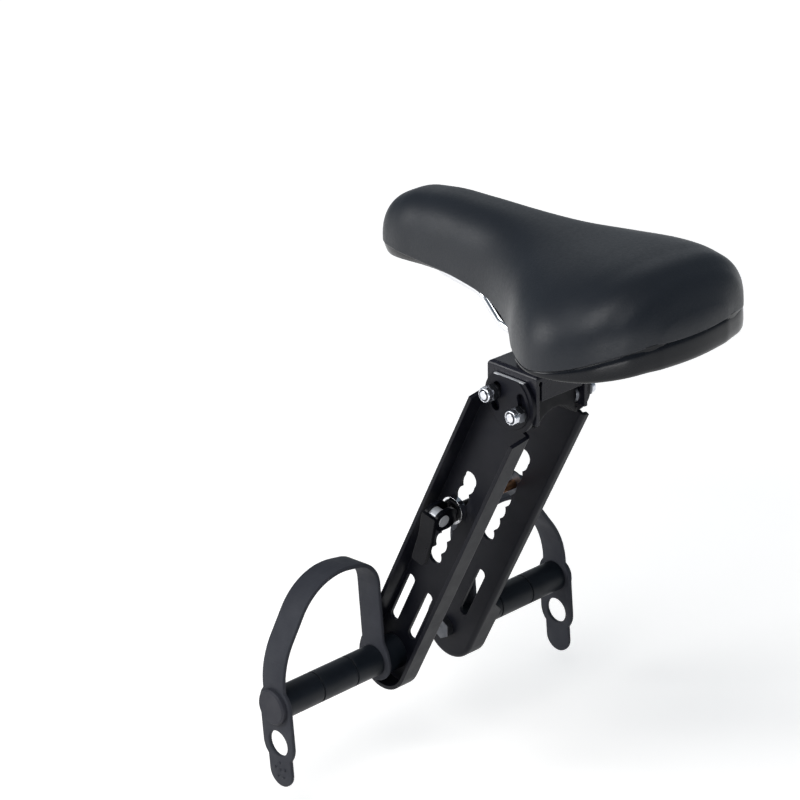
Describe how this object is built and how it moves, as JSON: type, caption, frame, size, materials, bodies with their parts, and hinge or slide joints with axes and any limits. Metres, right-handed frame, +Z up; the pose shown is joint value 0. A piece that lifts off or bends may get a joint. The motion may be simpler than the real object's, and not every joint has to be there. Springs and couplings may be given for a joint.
{
  "type": "child bike seat",
  "caption": "Front-mounted child bike seat: padded saddle on a top-tube bracket, with slotted steel arms, foot pegs, rubber straps and a quick-release cross rod.",
  "frame": {"origin": "on the top tube's axis, at the middle of the bracket's length", "axes": "+X to the rider's right, +Y forward, +Z up"},
  "size_m": [0.2638, 0.2502, 0.3776],
  "materials": {
    "bracket_paint": "gloss black",
    "pad_rubber": "matte",
    "zinc": "bright zinc",
    "clamp_steel": "satin black",
    "cover": "soft satin",
    "pan": "gloss",
    "rail_chrome": "polished",
    "arm_paint": "satin black",
    "peg_plastic": "satin",
    "strap_rubber": "matte",
    "rod_brass": "copper-coloured plating",
    "lever_paint": "satin black"
  },
  "bodies": {
    "bracket": {"top_bracket": "bracket_paint", "tube_pad": "pad_rubber", "arm_bolts": "zinc", "arm_washers": "zinc", "arm_nuts": "zinc", "clamp_base": "clamp_steel", "clamp_cap": "clamp_steel", "clamp_bolt": "zinc", "clamp_washer": "zinc", "clamp_nut": "zinc"},
    "saddle": {"saddle_cover": "cover", "saddle_base": "pan", "saddle_rail": "rail_chrome"},
    "arms": {"left_arm": "arm_paint", "right_arm": "arm_paint", "left_peg": "peg_plastic", "right_peg": "peg_plastic", "left_peg_bolt": "zinc", "right_peg_bolt": "zinc", "left_peg_cap": "peg_plastic", "right_peg_cap": "peg_plastic", "left_strap": "strap_rubber", "right_strap": "strap_rubber"},
    "clamp_rod": {"cross_rod": "rod_brass", "cam_barrel": "rail_chrome", "cup_washer": "rail_chrome", "rod_washer": "zinc", "rod_nut": "zinc"},
    "lever": {"qr_lever": "lever_paint"}
  },
  "joints": [
    {"name": "arm_tilt", "type": "hinge", "parent": "bracket", "child": "arms", "pos_m": [0, 0, 0.0263], "axis": [1, 0, 0], "range_deg": [-20, 45]},
    {"name": "saddle_slide", "type": "slide", "parent": "bracket", "child": "saddle", "axis": [0, 1, 0], "range_m": [-0.003, 0.014]},
    {"name": "rod_slide", "type": "slide", "parent": "arms", "child": "clamp_rod", "axis": [0, 0.454, -0.891], "range_m": [-0.0222, 0.0444]},
    {"name": "lever_swing", "type": "hinge", "parent": "clamp_rod", "child": "lever", "pos_m": [-0.0412, 0.04614, -0.05984], "axis": [0, 0.9781, 0.2079], "range_deg": [0, 120]}
  ]
}
